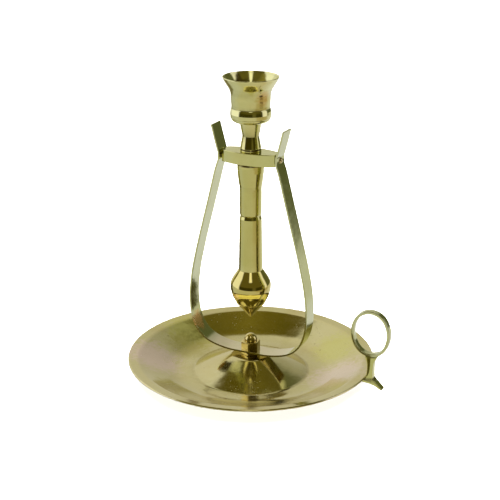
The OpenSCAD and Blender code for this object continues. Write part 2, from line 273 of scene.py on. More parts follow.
def bored(ob, cutters):
    """Cuts round holes: (centre, axis, radius, half length), in mm."""
    for k, (c, ax, r, h) in enumerate(cutters):
        bm = bmesh.new()
        bmesh.ops.create_cone(bm, cap_ends=True, segments=48, radius1=r * MM, radius2=r * MM, depth=2 * h * MM)
        me = bpy.data.meshes.new("cut"); bm.to_mesh(me); bm.free()
        co = bpy.data.objects.new("cut_%s_%d" % (ob.name, k), me)
        scene.collection.objects.link(co)
        co.matrix_world = Matrix.Translation(Vector(c) * MM) @ Vector(ax).to_track_quat("Z", "Y").to_matrix().to_4x4()
        bpy.context.view_layer.update()
        mod = ob.modifiers.new("bore", "BOOLEAN")
        mod.operation, mod.solver, mod.object = "DIFFERENCE", "EXACT", co
        dg = bpy.context.evaluated_depsgraph_get(); dg.update()
        new = bpy.data.meshes.new_from_object(ob.evaluated_get(dg), preserve_all_data_layers=True, depsgraph=dg)
        ob.modifiers.clear()
        old = ob.data
        ob.data = new
        bpy.data.objects.remove(co); bpy.data.meshes.remove(me)
        bpy.data.meshes.remove(old)
    for p in ob.data.polygons: p.use_smooth = True
    e = ob.modifiers.new("hard_edges", "EDGE_SPLIT"); e.split_angle = math.radians(50); e.use_edge_sharp = False
    return ob

# ------------------------------------------------------------------ materials

class Nodes:
    def __init__(self, mat):
        mat.use_nodes = True
        self.t = mat.node_tree
        self.t.nodes.clear()
    def __call__(self, kind, **put):
        n = self.t.nodes.new(kind)
        for k, v in put.items():
            if k.startswith("_"):
                setattr(n, k[1:], v)
                continue
            key = k.replace("__", " ")
            s = n.inputs[int(key[1:])] if key[0] == "i" and key[1:].isdigit() else n.inputs[key]
            if isinstance(v, bpy.types.NodeSocket): self.t.links.new(v, s)
            else: s.default_value = v
        return n
    def math(self, op, a, b=0.0, c=None, clamp=False):
        n = self.t.nodes.new("ShaderNodeMath"); n.operation = op; n.use_clamp = clamp
        for s, v in zip(n.inputs, (a, b, c)):
            if v is None: continue
            if isinstance(v, bpy.types.NodeSocket): self.t.links.new(v, s)
            else: s.default_value = v
        return n.outputs[0]
    def ramp(self, fac, a, b, lo=0.0, hi=1.0):
        n = self.t.nodes.new("ShaderNodeMapRange"); n.interpolation_type = "SMOOTHSTEP"; n.clamp = True
        self.t.links.new(fac, n.inputs["Value"])
        for k, v in zip(("From Min", "From Max", "To Min", "To Max"), (a, b, lo, hi)): n.inputs[k].default_value = v
        return n.outputs["Result"]
    def mix(self, fac, a, b):
        n = self.t.nodes.new("ShaderNodeMix"); n.data_type = "RGBA"
        ins = [n.inputs["Factor"]] + [s for s in n.inputs if s.type == "RGBA"]
        for s, v in zip(ins, (fac, a, b)):
            if isinstance(v, bpy.types.NodeSocket): self.t.links.new(v, s)
            else: s.default_value = (*v, 1.0) if s.type == "RGBA" else v
        return [o for o in n.outputs if o.type == "RGBA"][0]
    def noise(self, vec, scale, detail=3.0, rough=0.55, distortion=0.0):
        n = self("ShaderNodeTexNoise", Vector=vec, Scale=scale, Detail=detail, Roughness=rough, Distortion=distortion)
        return n.outputs["Fac"]


def scaled(c, k): return tuple(min(1.0, a * b) for a, b in zip(c, k))


def brass(name, base, rough=0.13, marks="z", mark_bump=0.35, wave=0.5, tarnish=0.5, specks=0.0, zones=(), stains_and_painted_reflections=(), painted_shade_and_tone_bands=(), scratch=0.35, seed=0.0):
    """Polished, lightly tarnished brass. marks says how the piece was turned or drawn: round z, round x, rings on a dish (r), or along a strip (y)."""
    m = bpy.data.materials.new(name)
    N = Nodes(m)
    co = N("ShaderNodeTexCoord").outputs["Object"]
    pos = N("ShaderNodeVectorMath", _operation="ADD", i0=co, i1=(seed * 0.37, seed * 0.11, seed * 0.23)).outputs[0]
    sep = N("ShaderNodeSeparateXYZ", Vector=co)
    x, y, z = sep.outputs
    if marks == "r":
        u = N.math("SQRT", N.math("ADD", N.math("MULTIPLY", x, x), N.math("MULTIPLY", y, y)))
    else:
        u = {"z": z, "x": x, "y": y}[marks]
    line = N("ShaderNodeCombineXYZ", X=u, Y=seed * 0.1, Z=0.0).outputs[0]
    # tarnish in clouds, a greener film, and a fine mottle
    cloud = N.ramp(N.noise(pos, 34, 4, 0.6, 0.4), 0.42, 0.72)
    film = N.ramp(N.noise(pos, 75, 5, 0.62, 0.8), 0.45, 0.75)
    mott = N.noise(pos, 520, 4, 0.65)
    col = N.mix(N.math("MULTIPLY", cloud, 0.55 * tarnish), base, scaled(base, (0.86, 0.76, 0.52)))
    col = N.mix(N.math("MULTIPLY", film, 0.40 * tarnish), col, scaled(base, (0.90, 0.97, 0.72)))
    col = N.mix(N.ramp(mott, 0.40, 0.80, 0.0, 0.14), col, scaled(base, (0.80, 0.76, 0.62)))
    turned = N.noise(line, 5200 if marks != "r" else 3600, 3, 0.6)
    col = N.mix(N.ramp(turned, 0.45, 0.8, 0.0, 0.16 * (1 if mark_bump else 0.3)), col, scaled(base, (0.78, 0.72, 0.55)))
    rgh = N.math("ADD", N.ramp(cloud, 0.0, 1.0, rough, rough + 0.04), N.ramp(mott, 0.3, 0.8, -0.01, 0.02))
    smear = N.ramp(N.noise(pos, 120, 3, 0.5, 2.2), 0.58, 0.7)
    rgh = N.math("ADD", rgh, N.math("MULTIPLY", smear, 0.03))
    rgh = N.math("ADD", rgh, N.ramp(turned, 0.4, 0.8, 0.0, 0.02))
    # dark deposit in creases, bright rubbed corners, both broken up
    grime = N("ShaderNodeAttribute", _attribute_name="grime").outputs["Fac"]
    wear = N("ShaderNodeAttribute", _attribute_name="wear").outputs["Fac"]
    g = N.math("MULTIPLY", grime, N.ramp(N.noise(pos, 260, 3), 0.3, 0.6, 0.45, 1.0), clamp=True)
    w = N.math("MULTIPLY", wear, N.ramp(N.noise(pos, 180, 3), 0.35, 0.6, 0.25, 0.8), clamp=True)
    col = N.mix(g, col, (0.10, 0.075, 0.025))
    col = N.mix(w, col, scaled(base, (1.16, 1.16, 1.3)))
    rgh = N.math("ADD", rgh, N.math("MULTIPLY", g, 0.3))
    # small dull specks that have lost their polish
    pit_h = None
    if specks > 0:
        vor = N("ShaderNodeTexVoronoi", Vector=pos, Scale=620.0, Randomness=1.0).outputs["Distance"]
        dot = N.ramp(vor, 0.10, 0.24, 1.0, 0.0)
        place = N.ramp(N.noise(pos, 42, 2, 0.5), 0.55, 0.68, 0.0, specks)
        for (px, py, pz), r, amount in zones:
            near = N("ShaderNodeVectorMath", _operation="DISTANCE", i0=co, i1=(px * MM, py * MM, pz * MM)).outputs["Value"]
            place = N.math("MAXIMUM", place, N.math("MULTIPLY", N.ramp(near, 0.3 * r * MM, r * MM, amount, 0.0), N.ramp(N.noise(pos, 300, 2, 0.6), 0.45, 0.6)))
        dot = N.math("MULTIPLY", dot, place, clamp=True)
        vor2 = N("ShaderNodeTexVoronoi", Vector=pos, Scale=170.0, Randomness=1.0).outputs["Distance"]
        dot2 = N.math("MULTIPLY", N.ramp(vor2, 0.05, 0.13, 1.0, 0.0), N.ramp(N.noise(pos, 55, 2, 0.5), 0.52, 0.62, 0.0, 0.8 * specks), clamp=True)
        col = N.mix(dot, col, (0.80, 0.74, 0.50))
        col = N.mix(dot2, col, (0.22, 0.17, 0.07))
        rgh = N.math("ADD", rgh, N.math("MULTIPLY", N.math("MAXIMUM", dot, dot2), 0.42))
        pit_h = N.math("ADD", dot, dot2)
    # colour patches round given points: real stains on some parts, painted reflection on others (the dish patches and
    # the dark nut flats)
    for (px, py, pz), r, colour, amount, add in stains_and_painted_reflections:
        d = N("ShaderNodeVectorMath", _operation="DISTANCE", i0=co, i1=(px * MM, py * MM, pz * MM)).outputs["Value"]
        d = N.math("ADD", d, N.math("MULTIPLY", N.math("SUBTRACT", N.noise(pos, 620 if r < 2 else 260, 4, 0.7, 1.0), 0.5), r * 1.5 * MM))
        f = N.ramp(d, 0.35 * r * MM, r * MM, amount, 0.0)
        col = N.mix(f, col, colour)
        rgh = N.math("ADD", rgh, N.math("MULTIPLY", f, add))
    # rings of colour between two heights: painted shade on the stem top and in the neck groove, a paler tone at the
    # foot of the strap
    for z0, z1, edge, colour, amount in painted_shade_and_tone_bands:
        f = N.math("MULTIPLY", N.ramp(z, (z0 - edge) * MM, z0 * MM), N.ramp(z, z1 * MM, (z1 + edge) * MM, amount, 0.0))
        f = N.math("MULTIPLY", f, N.ramp(N.noise(pos, 240, 3), 0.25, 0.6, 0.6, 1.0))
        col = N.mix(f, col, colour)
    # relief: hand-finished waviness, turning lines, hairline scratches
    soft = N.noise(pos, 95, 2, 0.45)
    bump = N("ShaderNodeBump", Strength=1.0, Distance=0.00016 * wave, Height=soft).outputs[0]
    if mark_bump:
        bump = N("ShaderNodeBump", Strength=1.0, Distance=0.0000042 * mark_bump, Height=turned, Normal=bump).outputs[0]
    st = N("ShaderNodeMapping", Vector=pos, Rotation=(0.3, 0.5, 0.9), Scale=(260.0, 2600.0, 2100.0)).outputs[0]
    st2 = N("ShaderNodeMapping", Vector=pos, Rotation=(0.9, -0.7, 0.2), Scale=(2300.0, 300.0, 2700.0)).outputs[0]
    h = N.math("MAXIMUM", N.ramp(N.noise(st, 1.0, 2), 0.62, 0.7), N.ramp(N.noise(st2, 1.0, 2), 0.64, 0.7))
    bump = N("ShaderNodeBump", Strength=1.0, Distance=-0.0000025 * scratch, Height=h, Normal=bump).outputs[0]
    if pit_h is not None:
        bump = N("ShaderNodeBump", Strength=1.0, Distance=-0.00002, Height=pit_h, Normal=bump).outputs[0]
    rgh = N.math("MINIMUM", N.math("MAXIMUM", rgh, 0.06), 0.8)
    b = N("ShaderNodeBsdfPrincipled", Metallic=1.0, Base__Color=col, Roughness=rgh, Normal=bump)
    out = N("ShaderNodeOutputMaterial", Surface=b.outputs[0])
    return m


STAIN = (0.52, 0.50, 0.06)
DARK = (0.10, 0.06, 0.02)
# the dish's five soft patches are painted reflection: two pale pinkish painted highlights, one darker patch and two
# golden-green patches; the last spot is a small bright dull fleck
dish_mat = brass("dish_brass", (0.72, 0.655, 0.33), rough=0.11, marks="r", mark_bump=0.5, wave=0.9, tarnish=0.7, specks=0.9, seed=1.0,
                 zones=[((-28.2, 52.7, 5.0), 7, 1.0), ((-36.0, 55.0, 7.5), 10, 0.9), ((-50.0, 50.2, 10.0), 9, 0.8)],
                 stains_and_painted_reflections=[((-60, 26, 8.3), 24, (0.70, 0.66, 0.16), 0.75, 0.0), ((-53, 10, 4), 20, (0.48, 0.42, 0.10), 0.6, 0.0),
                        ((-62, -24, 8), 26, (0.84, 0.68, 0.55), 0.9, 0.0), ((60, 8, 5), 26, (0.84, 0.70, 0.55), 0.9, 0.0),
                        ((44, 44, 8), 22, (0.70, 0.68, 0.20), 0.6, 0.0), ((-7.0, -12.0, 12.9), 0.7, (0.85, 0.8, 0.6), 0.9, 0.3)])
cup_mat = brass("cup_brass", (0.79, 0.765, 0.35), rough=0.08, marks="z", mark_bump=0.3, wave=0.12, tarnish=0.5, seed=2.0,
                stains_and_painted_reflections=[((10.4, -8.2, 193.7), 0.75, DARK, 0.9, 0.3), ((5.4, -13.0, 197.5), 3.6, STAIN, 0.7, 0.05),
                       ((5.8, -12.1, 194.6), 3.6, STAIN, 0.45, 0.03), ((8.6, -10.8, 198.4), 4.0, (0.62, 0.60, 0.16), 0.4, 0.02),
                       ((11.6, -5.6, 189.8), 6.0, (0.80, 0.56, 0.22), 0.6, 0.02)])
# the dark ring in the neck's groove just above the cross bar is painted shade
neck_mat = brass("neck_brass", (0.73, 0.685, 0.29), rough=0.07, marks="z", mark_bump=0.3, wave=0.25, tarnish=0.35, seed=3.0,
                 painted_shade_and_tone_bands=[(155.15, 155.75, 0.25, DARK, 0.85)])
# the dark band at the top of the upper stem, where it meets the cross bar, is painted shade
stem_mat = brass("stem_brass", (0.72, 0.685, 0.27), rough=0.07, marks="z", mark_bump=0.3, wave=0.3, tarnish=0.45, seed=4.0,
                 painted_shade_and_tone_bands=[(145.2, 147.0, 0.5, DARK, 0.8)])
stem2_mat = brass("stem_low_brass", (0.715, 0.68, 0.26), rough=0.07, marks="z", mark_bump=0.3, wave=0.3, tarnish=0.45, seed=5.0)
bulb_mat = brass("bulb_brass", (0.75, 0.66, 0.24), rough=0.06, marks="z", mark_bump=0.3, wave=0.25, tarnish=0.5, seed=6.0)
tip_mat = brass("tip_brass", (0.75, 0.65, 0.22), rough=0.06, marks="z", mark_bump=0.4, wave=0.25, tarnish=0.5, seed=7.0)
strap_mat = brass("strap_brass", (0.66, 0.68, 0.36), rough=0.09, marks="y", mark_bump=0.35, wave=0.7, tarnish=0.55, scratch=0.6, seed=8.0,
                  stains_and_painted_reflections=[((-40.0, -1.0, 30.5), 8.5, (1.0, 0.60, 0.20), 0.9, 0.22)], painted_shade_and_tone_bands=[(0.0, 19.0, 3.0, (0.80, 0.70, 0.48), 0.85)])
bar_mat = brass("bar_brass", (0.75, 0.74, 0.33), rough=0.09, marks="z", mark_bump=0.35, wave=0.5, tarnish=0.45, scratch=0.5, seed=9.0)
ring_mat = brass("ring_brass", (0.69, 0.71, 0.40), rough=0.07, marks="z", mark_bump=0.0, wave=0.6, tarnish=0.5, seed=10.0)
bracket_mat = brass("bracket_brass", (0.72, 0.72, 0.30), rough=0.09, marks="y", mark_bump=0.2, wave=0.8, tarnish=0.6, seed=11.0)
# the two dark patches on the front flats of the cap nut and the spacer nut are painted dark reflection
nut_mat = brass("nut_brass", (0.74, 0.62, 0.24), rough=0.06, marks="z", mark_bump=0.3, wave=0.25, tarnish=0.6, seed=12.0,
                stains_and_painted_reflections=[((3.6, -4.6, 19.4), 4.6, (0.22, 0.17, 0.06), 0.85, 0.02), ((3.6, -4.6, 14.2), 4.4, (0.12, 0.08, 0.03), 0.85, 0.02)])
rivet_mat = brass("rivet_brass", (0.58, 0.50, 0.24), rough=0.07, marks="x", mark_bump=0.3, wave=0.3, tarnish=0.6, seed=13.0)
washer_mat = brass("washer_brass", (0.30, 0.25, 0.12), rough=0.16, marks="x", mark_bump=0.3, wave=0.3, tarnish=0.9, seed=15.0)
hidden_mat = brass("fixing_brass", (0.70, 0.58, 0.28), rough=0.22, marks="z", mark_bump=0.6, wave=0.3, tarnish=0.9, seed=14.0)

for n in ("base_bolt", "base_washer", "cup_screw", "bar_stud", "joining_studs"):
    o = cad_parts[n]
    o.data.materials.clear()
    o.data.materials.append(hidden_mat)

# ------------------------------------------------------------------ dish

def corner(a, b, c, d, n=10):
    u, v = unit(sub(a, b)), unit(sub(c, b))
    return bezier((b[0] + u[0] * d, b[1] + u[1] * d), b, (b[0] + v[0] * d, b[1] + v[1] * d), n)

T = 1.1
dc = [(3.25, 13.0), (12.3, 13.0), (38.8, 1.1), (51.0, 1.1), (75.5, 12.0), (81.25, 12.9)]
top = ([dc[0]] + corner(dc[0], dc[1], dc[2], 1.2, 8) + corner(dc[1], dc[2], dc[3], 1.2, 8)
       + corner(dc[2], dc[3], dc[4], 7, 16) + corner(dc[3], dc[4], dc[5], 1.5, 8) + [dc[5]])
bead = arc(81.75, 12.25, 0.75, 90, -110, 14)
def moved(p, d):
    out = []
    for i in range(len(p)):
        a = unit(sub(p[max(i, 1)], p[max(i, 1) - 1])); b = unit(sub(p[min(i, len(p) - 2) + 1], p[min(i, len(p) - 2)]))
        na, nb = (-a[1], a[0]), (-b[1], b[0])
        m = unit((na[0] + nb[0], na[1] + nb[1])); k = d / max(0.3, m[0] * na[0] + m[1] * na[1])
        out.append((p[i][0] + m[0] * k, p[i][1] + m[1] * k))
    return out
under = list(reversed(moved(top, -T)))
under[-1] = (3.25, 13.0 - T)
v = lathe_data(top + bead + under, 288, closed=True)
finish_mesh("dish_shell", *v, dish_mat, "base", ["dish"], "spun_brass")

# ------------------------------------------------------------------ yoke

low = [(0, 15.85), (6, 15.85), (13, 15.9), (21, 17.05), (28, 19.15), (33.3, 22.35), (37.3, 26.85), (40, 32.45), (41.6, 39.25), (42.2, 47.85),
       (41.9, 56), (40.3, 68), (37.8, 80), (34.9, 92), (31.8, 104), (28.7, 116), (25.5, 128.5), (22.5, 140.3), (20.55, 146.4), (20.1, 147.7)]
high = [(20.1, 152.3), (20.55, 153.6), (22.3, 160), (24.85, 169.8)]
half = curve(low, 0.8) + curve(high, 0.8)
line = [(-a, b) for a, b in reversed(half)] + half[1:]
v = strip(line, 6.0, 0.65, 0.22, False, lambda u, w, s: (u, s, w))
yoke = finish_mesh("yoke_band", *v, strap_mat, "base", ["yoke_strap"], "strip_brass")
bored(yoke, [((0, 0, 15.85), (0, 0, 1), 3.25, 3), ((20.1, 0, 150), (1, 0, 0), 1.58, 3), ((-20.1, 0, 150), (1, 0, 0), 1.58, 3)])

# ------------------------------------------------------------------ centre fastening

def hexagon(af, r=0.25):
    R = af / 2 / math.cos(math.radians(30))
    pts = fillet([(R * math.cos(math.radians(60 * k)), R * math.sin(math.radians(60 * k)), r) for k in range(6)], True)
    out = []
    for i, p in enumerate(pts):
        q = pts[(i + 1) % len(pts)]
        out.append(p)
        l = length(sub(q, p))
        if l > 1.0:
            k = 10
            out += [(p[0] + (q[0] - p[0]) * j / (k + 1), p[1] + (q[1] - p[1]) * j / (k + 1)) for j in range(1, k + 1)]
    return out, bends(out, True, 0.6)


def hex_nut(af, z0, z1, turn, flat_top, slope, bore, both=False):
    """A hexagon nut whose corners are turned off by a cone."""
    pts, bw = hexagon(af)
    c, s = math.cos(math.radians(turn)), math.sin(math.radians(turn))
    n = len(pts)
    rows = []
    def row(zf, rf, extra):
        rows.append([(rf(p), zf(p), max(0, b) * 0.8 + extra) for p, b in zip(pts, bw)])
    rho = [length(p) for p in pts]
    ztop = lambda p: z1 - max(0.0, length(p) - flat_top) * slope
    zbot = lambda p: z0 + (max(0.0, length(p) - flat_top) * slope if both else 0.0)
    def shrink(k): return lambda p: k(length(p))
    if bore:
        row(lambda p: z0, shrink(lambda q: bore), 0)
    row(lambda p: z0, shrink(lambda q: min(q - 0.12, flat_top)), 0.2)
    row(lambda p: zbot(p) + 0.02, shrink(lambda q: q - 0.06), 0.5)
    row(lambda p: zbot(p) + 0.1, shrink(lambda q: q), 0.3)
    row(lambda p: zbot(p) + 0.3, shrink(lambda q: q), 0)
    row(lambda p: ztop(p) - 0.3, shrink(lambda q: q), 0)
    row(lambda p: ztop(p) - 0.1, shrink(lambda q: q), 0.3)
    row(lambda p: ztop(p) - 0.02, shrink(lambda q: q - 0.06), 0.6)
    row(lambda p: z1, shrink(lambda q: min(q - 0.12, flat_top)), 0.3)
    row(lambda p: z1, shrink(lambda q: flat_top - 0.5), 0)
    row(lambda p: z1, shrink(lambda q: bore if bore else 2.0), -0.3)
    verts, faces, wear = [], [], []
    for r in rows:
        for (rad, zz, w), p in zip(r, pts):
            d = unit(p)
            verts.append((d[0] * rad * c - d[1] * rad * s, d[0] * rad * s + d[1] * rad * c, zz)); wear.append(w)
    m = len(rows)
    for i in range(m - 1):
        for k in range(n):
            j = (k + 1) % n
            faces.append((i * n + k, i * n + j, (i + 1) * n + j, (i + 1) * n + k))
    if bore:
        for k in range(n):
            j = (k + 1) % n
            faces.append(((m - 1) * n + k, (m - 1) * n + j, j, k))
    return verts, faces, wear


v = hex_nut(11.3, 13.0, 15.2, -21.8, 5.45, 0.45, 3.05, both=True)
o = finish_mesh("spacer_hexnut", *v, nut_mat, "base", ["spacer_nut"], "fastener_brass")
o.modifiers.new("hard", "EDGE_SPLIT").split_angle = math.radians(40)
hexa = hex_nut(11.3, 16.5, 22.4, -21.8, 5.35, 0.43, 3.05)
ball = lathe_data([(2.9, 22.5)] + [(4.3, 22.5)] + arc(0, 23.3, 4.3, -8, 90, 30)[:-1] + [(0, 27.6)], 96)
v = merge(hexa, ball)
o = finish_mesh("cap_ballnut", *v, nut_mat, "base", ["cap_nut"], "fastener_brass")
o.modifiers.new("hard", "EDGE_SPLIT").split_angle = math.radians(40)

# ------------------------------------------------------------------ cross bar

def bow(x, y, e, n=44):
    r = (x * x + (y - e) ** 2) / (2 * (y - e))
    a = math.asin(x / r)
    up = [(r * math.sin(a - 2 * a * k / n), y - r + r * math.cos(a - 2 * a * k / n)) for k in range(n + 1)]
    return up + [(-u, -v) for u, v in up]


def slab(pts, z0, z1, r, inner):
    """A solid plate with this XY outline, all its long edges rounded by r, bored at its middle by inner."""
    if area(pts) < 0: pts = list(reversed(pts))
    w = bends(pts, True, 0.8)
    n = len(pts)
    nor = []
    for i in range(n):
        a, b = unit(sub(pts[i], pts[i - 1])), unit(sub(pts[(i + 1) % n], pts[i]))
        na, nb = (a[1], -a[0]), (b[1], -b[0])
        m = unit((na[0] + nb[0], na[1] + nb[1]))
        k = 1 / max(0.6, m[0] * na[0] + m[1] * na[1])
        nor.append((m[0] * k, m[1] * k))
    q = [(r * (1 - math.sin(t)), r * (1 - math.cos(t))) for t in (math.radians(90 * j / 6) for j in range(7))]
    steps = [(z0 + dz, ins) for ins, dz in q] + [(z0 + r + 0.25, 0), ((z0 + z1) / 2, 0)]
    steps += [(z1 + z0 - z, i) for z, i in reversed(steps[:-1])]
    steps = [(z0, r + 0.35)] + steps + [(z1, r + 0.35)]
    verts, faces, wear, rings = [], [], [], []
    for z, ins in steps:
        ids = []
        for p, m, b in zip(pts, nor, w):
            ids.append(len(verts))
            verts.append((p[0] - m[0] * ins, p[1] - m[1] * ins, z)); wear.append(max(b / 0.9, 0.6 if 0 < ins < r else 0.0))
        rings.append(ids)
    for z, sgn in ((z1, 1), (z0, -1)):
        ids = []
        for p in pts:
            d = unit(p); ids.append(len(verts)); verts.append((d[0] * inner, d[1] * inner, z)); wear.append(0.0)
        rings.insert(len(rings) if sgn > 0 else 0, ids)
    for a, c in list(zip(rings[:-1], rings[1:])) + [(rings[-1], rings[0])]:
        for k in range(n):
            j = (k + 1) % n
            faces.append((a[k], a[j], c[j], c[k]))
    return verts, faces, wear


outline = bow(18.4, 8.25, 4.2)
ends = [(p[0], p[1], 0.35 if abs(abs(p[0]) - 18.4) < 1e-6 else 0.0) for p in outline]
bar = finish_mesh("cross_bar_solid", *slab(fillet(ends, True), 146.0, 154.0, 0.28, 2.55), bar_mat, "column", ["cross_bar"], "strip_brass")
bored(bar, [((17, 0, 150), (1, 0, 0), 1.52, 4.9), ((-17, 0, 150), (1, 0, 0), 1.52, 4.9)])

# ------------------------------------------------------------------ rivets and washers

hr, hh = 2.0, 1.35
dr = (hr * hr + hh * hh) / (2 * hh)
x0, x1 = 12.4, 20.83
a0 = math.degrees(math.asin((dr - hh) / dr))
rp = ([(0, x0), (1.2, x0, 0.05), (1.5, x0 + 0.3, 0.1), (1.5, x1, 0.02), (hr - 0.02, x1, 0.02)]
      + arc(0, x1 + hh - dr, dr, a0 + 3, 90, 12)[:-1] + [(0, x1 + hh)])
parts = [lathe_data(rp, 64, axis="x", centre=(0, 0, PIVOT_Z), flip=f) for f in (False, True)]
finish_mesh("pivot_rivet_pair", *merge(*parts), rivet_mat, "column", ["pivot_rivets"], "fastener_brass")
wp = [(1.52, 18.42, 0.05), (2.8, 18.42, 0.12), (2.8, 19.33, 0.12), (1.52, 19.33, 0.05)]
parts = [lathe_data(wp, 64, closed=True, axis="x", centre=(0, 0, PIVOT_Z), flip=f) for f in (False, True)]
finish_mesh("pivot_washer_pair", *merge(*parts), washer_mat, "column", ["pivot_washers"], "fastener_brass")

# ------------------------------------------------------------------ candle column

b = 172.3
out = ([(2.05, b), (6.6, b, 0.3)] + curve([(9.2, b + 0.5), (10.7, b + 1.0), (11.8, b + 1.75), (12.35, b + 2.6), (12.62, b + 3.4)], 0.25)
       + [(12.95, b + 3.75, 0.12), (13.14, b + 6.1, 0.5), (12.95, b + 8.0), (12.62, b + 9.3, 0.2), (12.36, b + 9.75, 0.12), (12.36, b + 10.3)]
       + curve([(12.36, b + 11.4), (12.6, b + 14.8), (12.85, b + 19), (13.8, b + 21.7), (15.3, b + 24.2), (16.8, b + 26.7), (17.6, b + 28.3), (17.9, b + 28.9)], 0.5)
       + arc(17.55, b + 29.08, 0.42, -5, 150, 10))
inn = (curve([(16.9, b + 28.5), (15.9, b + 26.9), (14.2, b + 24.4), (12.6, b + 22.6), (11.55, b + 21.6)], 0.5)
       + [(11.1, b + 20.8, 0.3), (11.1, b + 5.8, 0.15), (10.9, b + 5.6, 0.1), (3.75, b + 5.6, 0.1), (2.05, b + 3.85)])
v = lathe_data(out + inn, 224, closed=True)
finish_mesh("candle_socket", *v, cup_mat, "column", ["candle_cup"], "turned_brass")

neck = [(0, 154.0), (6.6, 154.0, 0.2), (6.85, 154.3, 0.2), (6.85, 155.0, 0.25), (6.5, 155.35, 0.12), (6.78, 156.0, 0.3), (6.7, 156.7),
        (5.42, 163.9, 0.25), (6.98, 172.25, 0.1), (0, 172.3)]
finish_mesh("neck_turned", *lathe_data(neck, 160), neck_mat, "column", ["neck_spool"], "turned_brass")

us = ([(0, 111.2), (6.73, 111.2, 0.15), (7.08, 112.0, 0.3), (7.18, 113.0, 0.5), (7.18, 127.0)]
      + bezier((7.18, 128.2), (7.19, 130.6), (7.55, 131.9), 10)
      + [(8.1, 136.0), (8.57, 140.5), (8.72, 143.2), (8.72, 145.4, 0.3), (8.2, 146.0, 0.1), (0, 146.0)])
finish_mesh("stem_upper", *lathe_data(us, 160), stem_mat, "column", ["upper_stem"], "turned_brass")

ls = [(0, 74.0), (7.93, 74.0, 0.05), (7.73, 83.0), (7.46, 98.0), (7.26, 109.1, 0.15), (6.73, 111.1, 0.1), (0, 111.1)]
finish_mesh("stem_lower", *lathe_data(ls, 160), stem2_mat, "column", ["lower_stem"], "turned_brass")

h = 74.0
flank = curve([(7.98, h), (9.8, h - 2.9), (11.6, h - 5.7), (13.0, h - 8.5), (13.45, h - 10.6), (13.5, h - 12.1), (13.3, h - 14.2), (12.6, h - 17),
               (11.45, h - 19.9), (9.85, h - 22.7)], 0.35)
bl = [(0, h)] + flank + [(9.5, h - 23.2, 0.15), (9.35, h - 23.6, 0.1), (0, h - 23.6)]
finish_mesh("bulb_turned", *lathe_data(bl, 192), bulb_mat, "column", ["bulb_weight"], "turned_brass")

tp = ([(0, 39.5)] + arc(0, 40.25, 0.75, -86, -46, 6) + [(5.0, 44.9), (9.35, 49.9, 0.2), (9.47, 50.25, 0.12), (9.2, 50.4, 0.1), (2.4, 50.4, 0.1), (2.4, 57.9, 0.1), (0, 57.9)])
finish_mesh("finial_turned", *lathe_data(tp, 160), tip_mat, "column", ["tip_finial"], "turned_brass")

# ------------------------------------------------------------------ handle

FX, FZ, FA, FB, R1 = 84.7, 43.2, 12.05, 14.75, 11.0
d1 = FB - R1
R2 = (d1 * d1 + FA * FA - R1 * R1) / (2 * (FA - R1))
d2 = R2 - FA
th = math.degrees(math.atan2(d1, d2))
loop = (arc(FX - d2, FZ, R2, -th, th, 30)[:-1] + arc(FX, FZ + d1, R1, th, 180 - th, 40)[:-1]
        + arc(FX + d2, FZ, R2, 180 - th, 180 + th, 30)[:-1] + arc(FX, FZ - d1, R1, 180 + th, 360 - th, 40)[:-1])
BAND = 2.2
finish_mesh("finger_loop", *strip(loop, 2.2, BAND / 2, 0.5, True, lambda u, w, c: (u, c, w)), ring_mat, "base", ["finger_ring"], "cast_brass")


def extrude_xz(pts, y0, y1, r):
    """A plate with this XZ outline, its two long edges rounded by r."""
    if area(pts) < 0: pts = list(reversed(pts))
    w = bends(pts, True, 0.8)
    n = len(pts)
    nor = []
    for i in range(n):
        a, b = unit(sub(pts[i], pts[i - 1])), unit(sub(pts[(i + 1) % n], pts[i]))
        na, nb = (a[1], -a[0]), (b[1], -b[0])
        m = unit((na[0] + nb[0], na[1] + nb[1]))
        k = 1 / max(0.6, m[0] * na[0] + m[1] * na[1])
        nor.append((m[0] * k, m[1] * k))
    verts, faces, wear, rings = [], [], [], []
    steps = [(y0, r), (y0 + r * 0.08, r * 0.6), (y0 + r * 0.3, r * 0.28), (y0 + r * 0.62, r * 0.07), (y0 + r, 0), (y0 + r + 0.15, 0)]
    steps += [(y1 + y0 - y, i) for y, i in reversed(steps)]
    for y, ins in steps:
        ids = []
        for p, q, b in zip(pts, nor, w):
            ids.append(len(verts))
            verts.append((p[0] - q[0] * ins, y, p[1] - q[1] * ins)); wear.append(max(b / 0.9, 0.7 if 0 < ins < r else 0) if b > -0.3 else b / 0.9)
        rings.append(ids)
    for a, c in zip(rings[:-1], rings[1:]):
        for k in range(n):
            j = (k + 1) % n
            faces.append((a[k], a[j], c[j], c[k]))
    for ids, turn in ((rings[0], False), (rings[-1], True)):
        for t in tessellate_polygon([[Vector((verts[i][0], verts[i][2], 0.0)) for i in ids]]):
            faces.append(tuple(ids[i] for i in (reversed(t) if turn else t)))
    return verts, faces, wear


